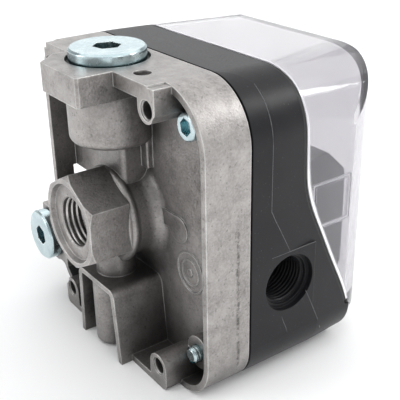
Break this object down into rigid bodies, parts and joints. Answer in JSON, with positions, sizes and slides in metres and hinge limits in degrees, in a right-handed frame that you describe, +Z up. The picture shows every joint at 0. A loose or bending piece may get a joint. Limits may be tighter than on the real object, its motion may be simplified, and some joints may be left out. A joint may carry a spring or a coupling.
{
  "type": "gas pressure switch",
  "caption": "Compact gas pressure switch: die-cast threaded back half, black plastic housing with side cable entry, clear front cover over a setpoint dial and microswitch.",
  "frame": {"origin": "on the axis of the pressure port, where its thread begins, 1.5 mm inside the hexagon's face", "axes": "+Y out of the pressure port (the back of the switch), -Y towards the clear cover, +Z up towards the top plug, cable entry on the -X side"},
  "size_m": [0.0749, 0.0672, 0.0774],
  "materials": {
    "die_cast": "as cast, fine blasted grain, machined sealing faces",
    "black_plastic": "fine spark-eroded texture",
    "clear_plastic": "clear, slightly milky",
    "black_rubber": "matt",
    "seal_fibre": "matt",
    "plated_steel": "zinc plated, satin",
    "zinc_plated": "bright zinc with bluish passivation",
    "spring_steel": "bright drawn wire",
    "sheet_steel": "cold rolled",
    "aluminium_sheet": "turned",
    "brass": "bright, unplated",
    "white_plastic": "smooth moulding with printed scale",
    "red_plastic": "smooth moulding",
    "grey_plastic": "moulded",
    "switch_plastic": "moulded"
  },
  "bodies": {
    "housing": {"lower_housing": "die_cast", "upper_housing": "black_plastic", "cover_gasket": "black_rubber", "working_diaphragm": "black_rubber", "index_mark": "red_plastic", "lever_pin": "plated_steel", "microswitch_body": "switch_plastic", "switch_screws": "plated_steel", "terminal_block": "grey_plastic", "terminal_clamps": "brass", "terminal_screws": "plated_steel", "terminal_links": "brass", "earth_plate": "brass", "earth_screw": "plated_steel", "top_plug": "zinc_plated", "top_plug_seal": "seal_fibre", "side_plug": "zinc_plated", "side_plug_seal": "seal_fibre", "rear_housing_screws": "zinc_plated", "front_housing_screws": "zinc_plated"},
    "cover": {"clear_cover": "clear_plastic", "cover_screw": "plated_steel"},
    "dial": {"adjusting_dial": "white_plastic", "adjusting_spindle": "plated_steel"},
    "seat": {"spring_seat": "brass"},
    "diaphragm_unit": {"diaphragm_plate": "aluminium_sheet", "push_rod": "plated_steel", "setpoint_spring": "spring_steel"},
    "lever": {"switching_lever": "sheet_steel"},
    "plunger": {"microswitch_plunger": "red_plastic"}
  },
  "joints": [
    {"name": "cover_off", "type": "slide", "parent": "housing", "child": "cover", "axis": [0, -1, 0], "range_m": [0, 0.04]},
    {"name": "dial_turn", "type": "hinge", "parent": "housing", "child": "dial", "pos_m": [0.002, -0.0472, 0.006], "axis": [0, -1, 0], "range_deg": [0, 300]},
    {"name": "seat_travel", "type": "slide", "parent": "housing", "child": "seat", "axis": [0, -1, 0], "range_m": [0, 0.0024]},
    {"name": "diaphragm_stroke", "type": "slide", "parent": "housing", "child": "diaphragm_unit", "axis": [0, -1, 0], "range_m": [0, 0.001], "stiffness_N_per_m": 300, "springref_m": -0.0005},
    {"name": "lever_swing", "type": "hinge", "parent": "housing", "child": "lever", "pos_m": [-0.0145, -0.0329, -0.0125], "axis": [0, 0, -1], "range_deg": [0, 3.5]},
    {"name": "plunger_stroke", "type": "slide", "parent": "housing", "child": "plunger", "axis": [0, -1, 0], "range_m": [0, 0.0014]}
  ],
  "couplings": [
    {"joint": "dial_turn", "follows": "seat_travel", "rad_per_m": 2181.7},
    {"joint": "lever_swing", "follows": "diaphragm_stroke", "rad_per_m": 60.606},
    {"joint": "plunger_stroke", "follows": "diaphragm_stroke", "ratio": 1.3636}
  ]
}
